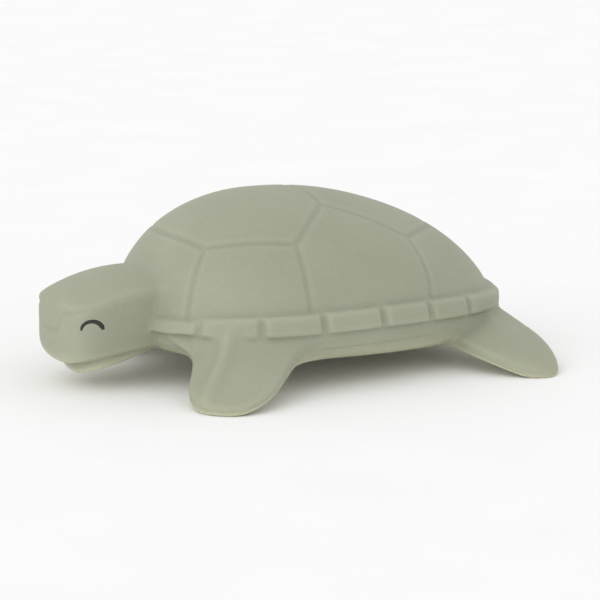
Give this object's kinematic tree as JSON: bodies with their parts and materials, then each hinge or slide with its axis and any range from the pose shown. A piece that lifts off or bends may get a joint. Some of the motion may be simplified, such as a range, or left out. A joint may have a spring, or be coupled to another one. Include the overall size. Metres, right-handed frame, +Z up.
{
  "type": "turtle bath toy",
  "caption": "Hollow soft-rubber sea turtle bath toy in bonded upper and lower halves, with a grooved domed shell, notched rim, broad flippers and printed smiling eyes.",
  "frame": {"origin": "on the surface that the flippers stand on, under the middle of the bounding box", "axes": "+Z up, -Y towards the nose and +Y towards the tail, +X to the turtle's left"},
  "size_m": [0.0996, 0.1216, 0.0446],
  "materials": {
    "rubber": "satin, grey-green natural rubber coloured through",
    "lower_rubber": "satin, grey-green natural rubber coloured through",
    "ink": "matt black print"
  },
  "bodies": {
    "root": {"upper_half": "rubber", "lower_half": "lower_rubber", "left_eye": "ink", "right_eye": "ink"}
  },
  "joints": []
}
